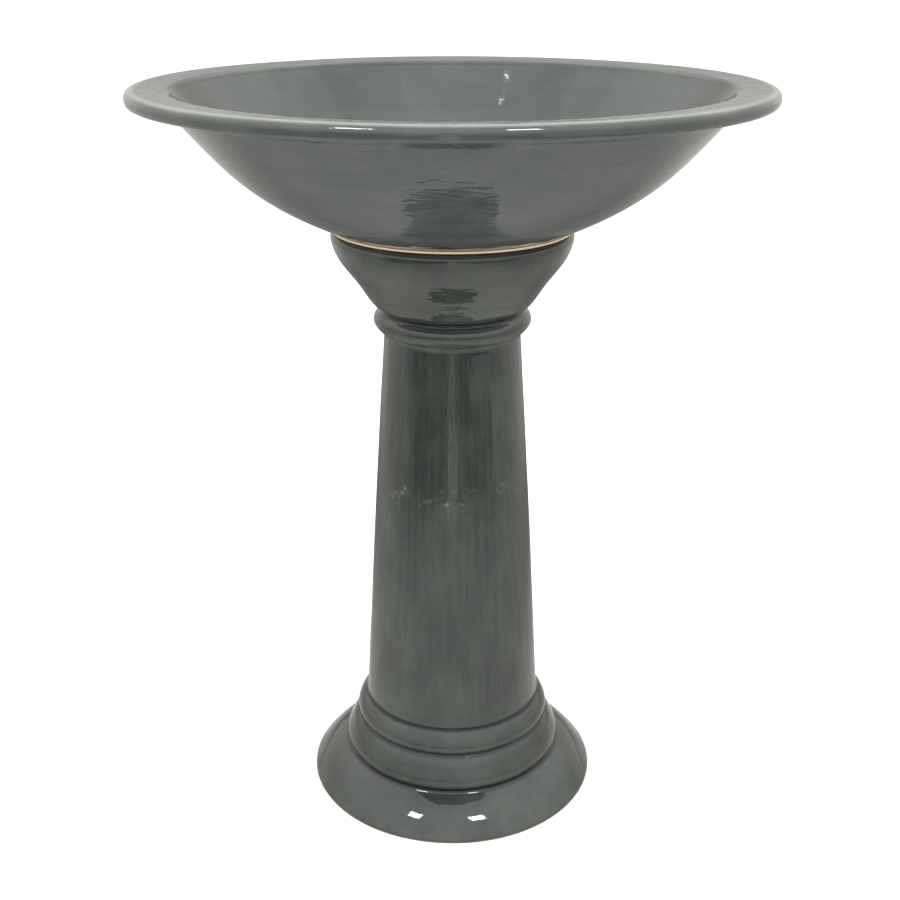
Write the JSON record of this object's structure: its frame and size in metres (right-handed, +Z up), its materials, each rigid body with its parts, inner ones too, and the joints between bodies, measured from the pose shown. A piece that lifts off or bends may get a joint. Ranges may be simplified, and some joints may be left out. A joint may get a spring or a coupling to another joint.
{
  "type": "bird bath",
  "caption": "Round glazed stoneware bird bath: a wide shallow bowl with a rolled flange rim that lifts off a hollow tapering pedestal with a flared capital and moulded base.",
  "frame": {"origin": "centre of the pedestal's foot, on the ground", "axes": "+Z up along the common axis of the pedestal and the bowl; X and Y are free, because every profile is turned about Z"},
  "size_m": [0.5072, 0.5072, 0.634],
  "materials": {
    "pedestal_glaze": "dark grey-green gloss glaze over buff stoneware",
    "bowl_glaze": "dark grey-green gloss glaze over buff stoneware, bare on the foot ring",
    "pad_rubber": "matt black"
  },
  "bodies": {
    "pedestal": {"pedestal": "pedestal_glaze", "bumper_pads": "pad_rubber"},
    "bowl": {"bowl": "bowl_glaze"}
  },
  "joints": [
    {"name": "bowl_lift", "type": "slide", "parent": "pedestal", "child": "bowl", "axis": [0, 0, 1], "range_m": [0, 0.12]}
  ]
}
